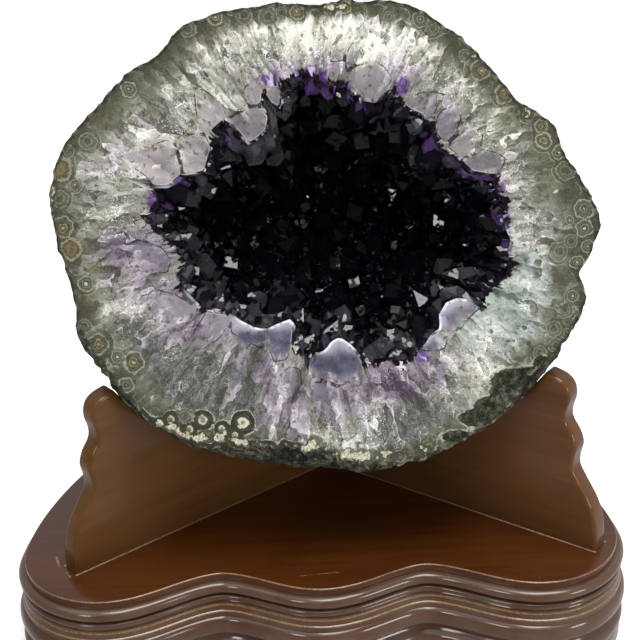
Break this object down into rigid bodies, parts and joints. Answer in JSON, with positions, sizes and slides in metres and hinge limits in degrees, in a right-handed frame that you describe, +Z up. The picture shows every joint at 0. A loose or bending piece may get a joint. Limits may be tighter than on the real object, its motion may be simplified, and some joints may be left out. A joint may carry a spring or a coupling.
{
  "type": "amethyst geode on display stand",
  "caption": "Sawn and polished amethyst geode with a crystal-lined hollow, leaning back on crossed cradle boards over a moulded dark wooden plinth.",
  "frame": {"origin": "centre of the stand's footprint, on the surface that it stands on", "axes": "+Z up, the sawn face and its hollow look along -Y and lean back, +X to the right as seen from the front"},
  "size_m": [0.3198, 0.2392, 0.328],
  "materials": {
    "agate_and_quartz": "polished on the sawn face, rough on the natural skin",
    "amethyst": "clear glossy crystal faces",
    "lacquered_wood": "glossy dark brown lacquer"
  },
  "bodies": {
    "root": {"geode_shell": "agate_and_quartz", "amethyst_crystals": "amethyst", "left_cradle_board": "lacquered_wood", "right_cradle_board": "lacquered_wood", "plinth_top": "lacquered_wood", "plinth_base": "lacquered_wood"}
  },
  "joints": []
}
